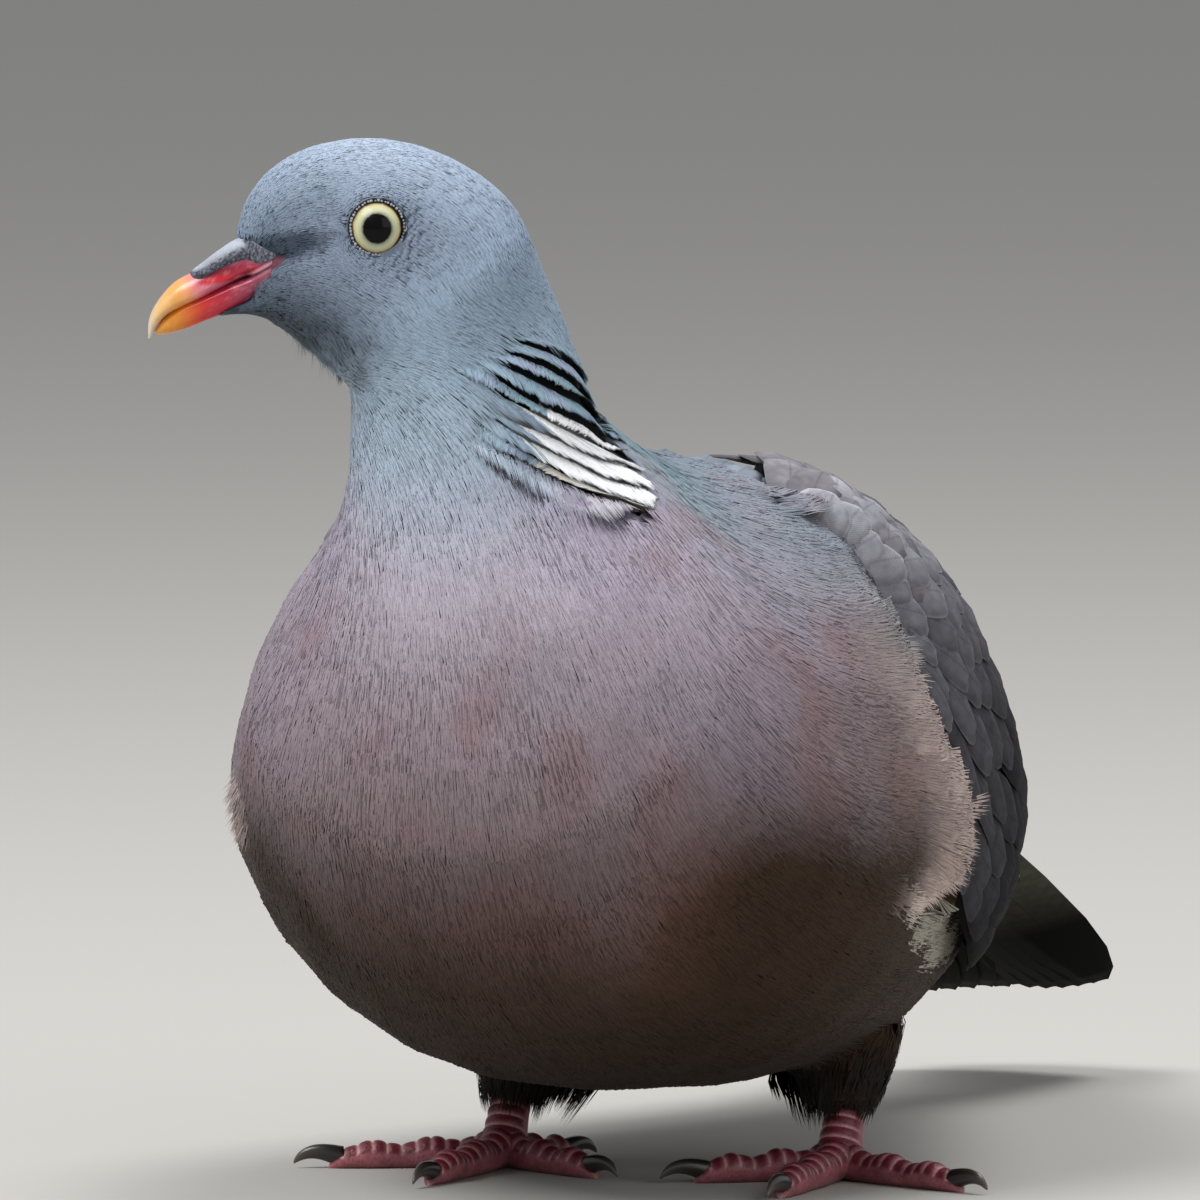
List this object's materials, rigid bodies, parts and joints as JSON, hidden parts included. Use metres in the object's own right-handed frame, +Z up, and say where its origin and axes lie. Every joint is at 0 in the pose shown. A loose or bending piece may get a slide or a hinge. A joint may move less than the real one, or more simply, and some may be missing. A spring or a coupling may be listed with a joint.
{
  "type": "common wood pigeon, standing, life-size still model",
  "caption": "Plump grey and mauve wood pigeon standing on both feet with its head turned to its right, as a still life-size display model.",
  "frame": {"origin": "on the floor under the middle of the whole bird", "axes": "+Z up, +Y from the breast to the tail, +X to the bird's left wing"},
  "size_m": [0.1289, 0.2893, 0.1761],
  "materials": {
    "plumage_mauve": "soft body feathers, matt",
    "plumage_blue_grey": "short soft feathers, matt, with a green and violet gloss on the neck",
    "plumage_wing": "firm overlapping covert and flight feathers, satin",
    "tail_quills": "stiff tail feathers, satin",
    "bill_horn": "smooth horn",
    "bill_cere": "powdery soft skin",
    "eye": "wet and glossy",
    "leg_skin": "scaled skin, slightly glossy",
    "claw_horn": "dark smooth horn"
  },
  "bodies": {
    "root": {"torso": "plumage_mauve", "neck": "plumage_blue_grey", "head": "plumage_blue_grey", "eye_left": "eye", "eye_right": "eye", "bill_upper": "bill_horn", "bill_lower": "bill_horn", "cere": "bill_cere", "tail": "tail_quills", "wing_left": "plumage_wing", "wing_right": "plumage_wing", "shin_left": "plumage_mauve", "shank_left": "leg_skin", "toe_middle_left": "leg_skin", "claw_middle_left": "claw_horn", "toe_inner_left": "leg_skin", "claw_inner_left": "claw_horn", "toe_outer_left": "leg_skin", "claw_outer_left": "claw_horn", "toe_hind_left": "leg_skin", "claw_hind_left": "claw_horn", "shin_right": "plumage_mauve", "shank_right": "leg_skin", "toe_middle_right": "leg_skin", "claw_middle_right": "claw_horn", "toe_inner_right": "leg_skin", "claw_inner_right": "claw_horn", "toe_outer_right": "leg_skin", "claw_outer_right": "claw_horn", "toe_hind_right": "leg_skin", "claw_hind_right": "claw_horn"}
  },
  "joints": []
}
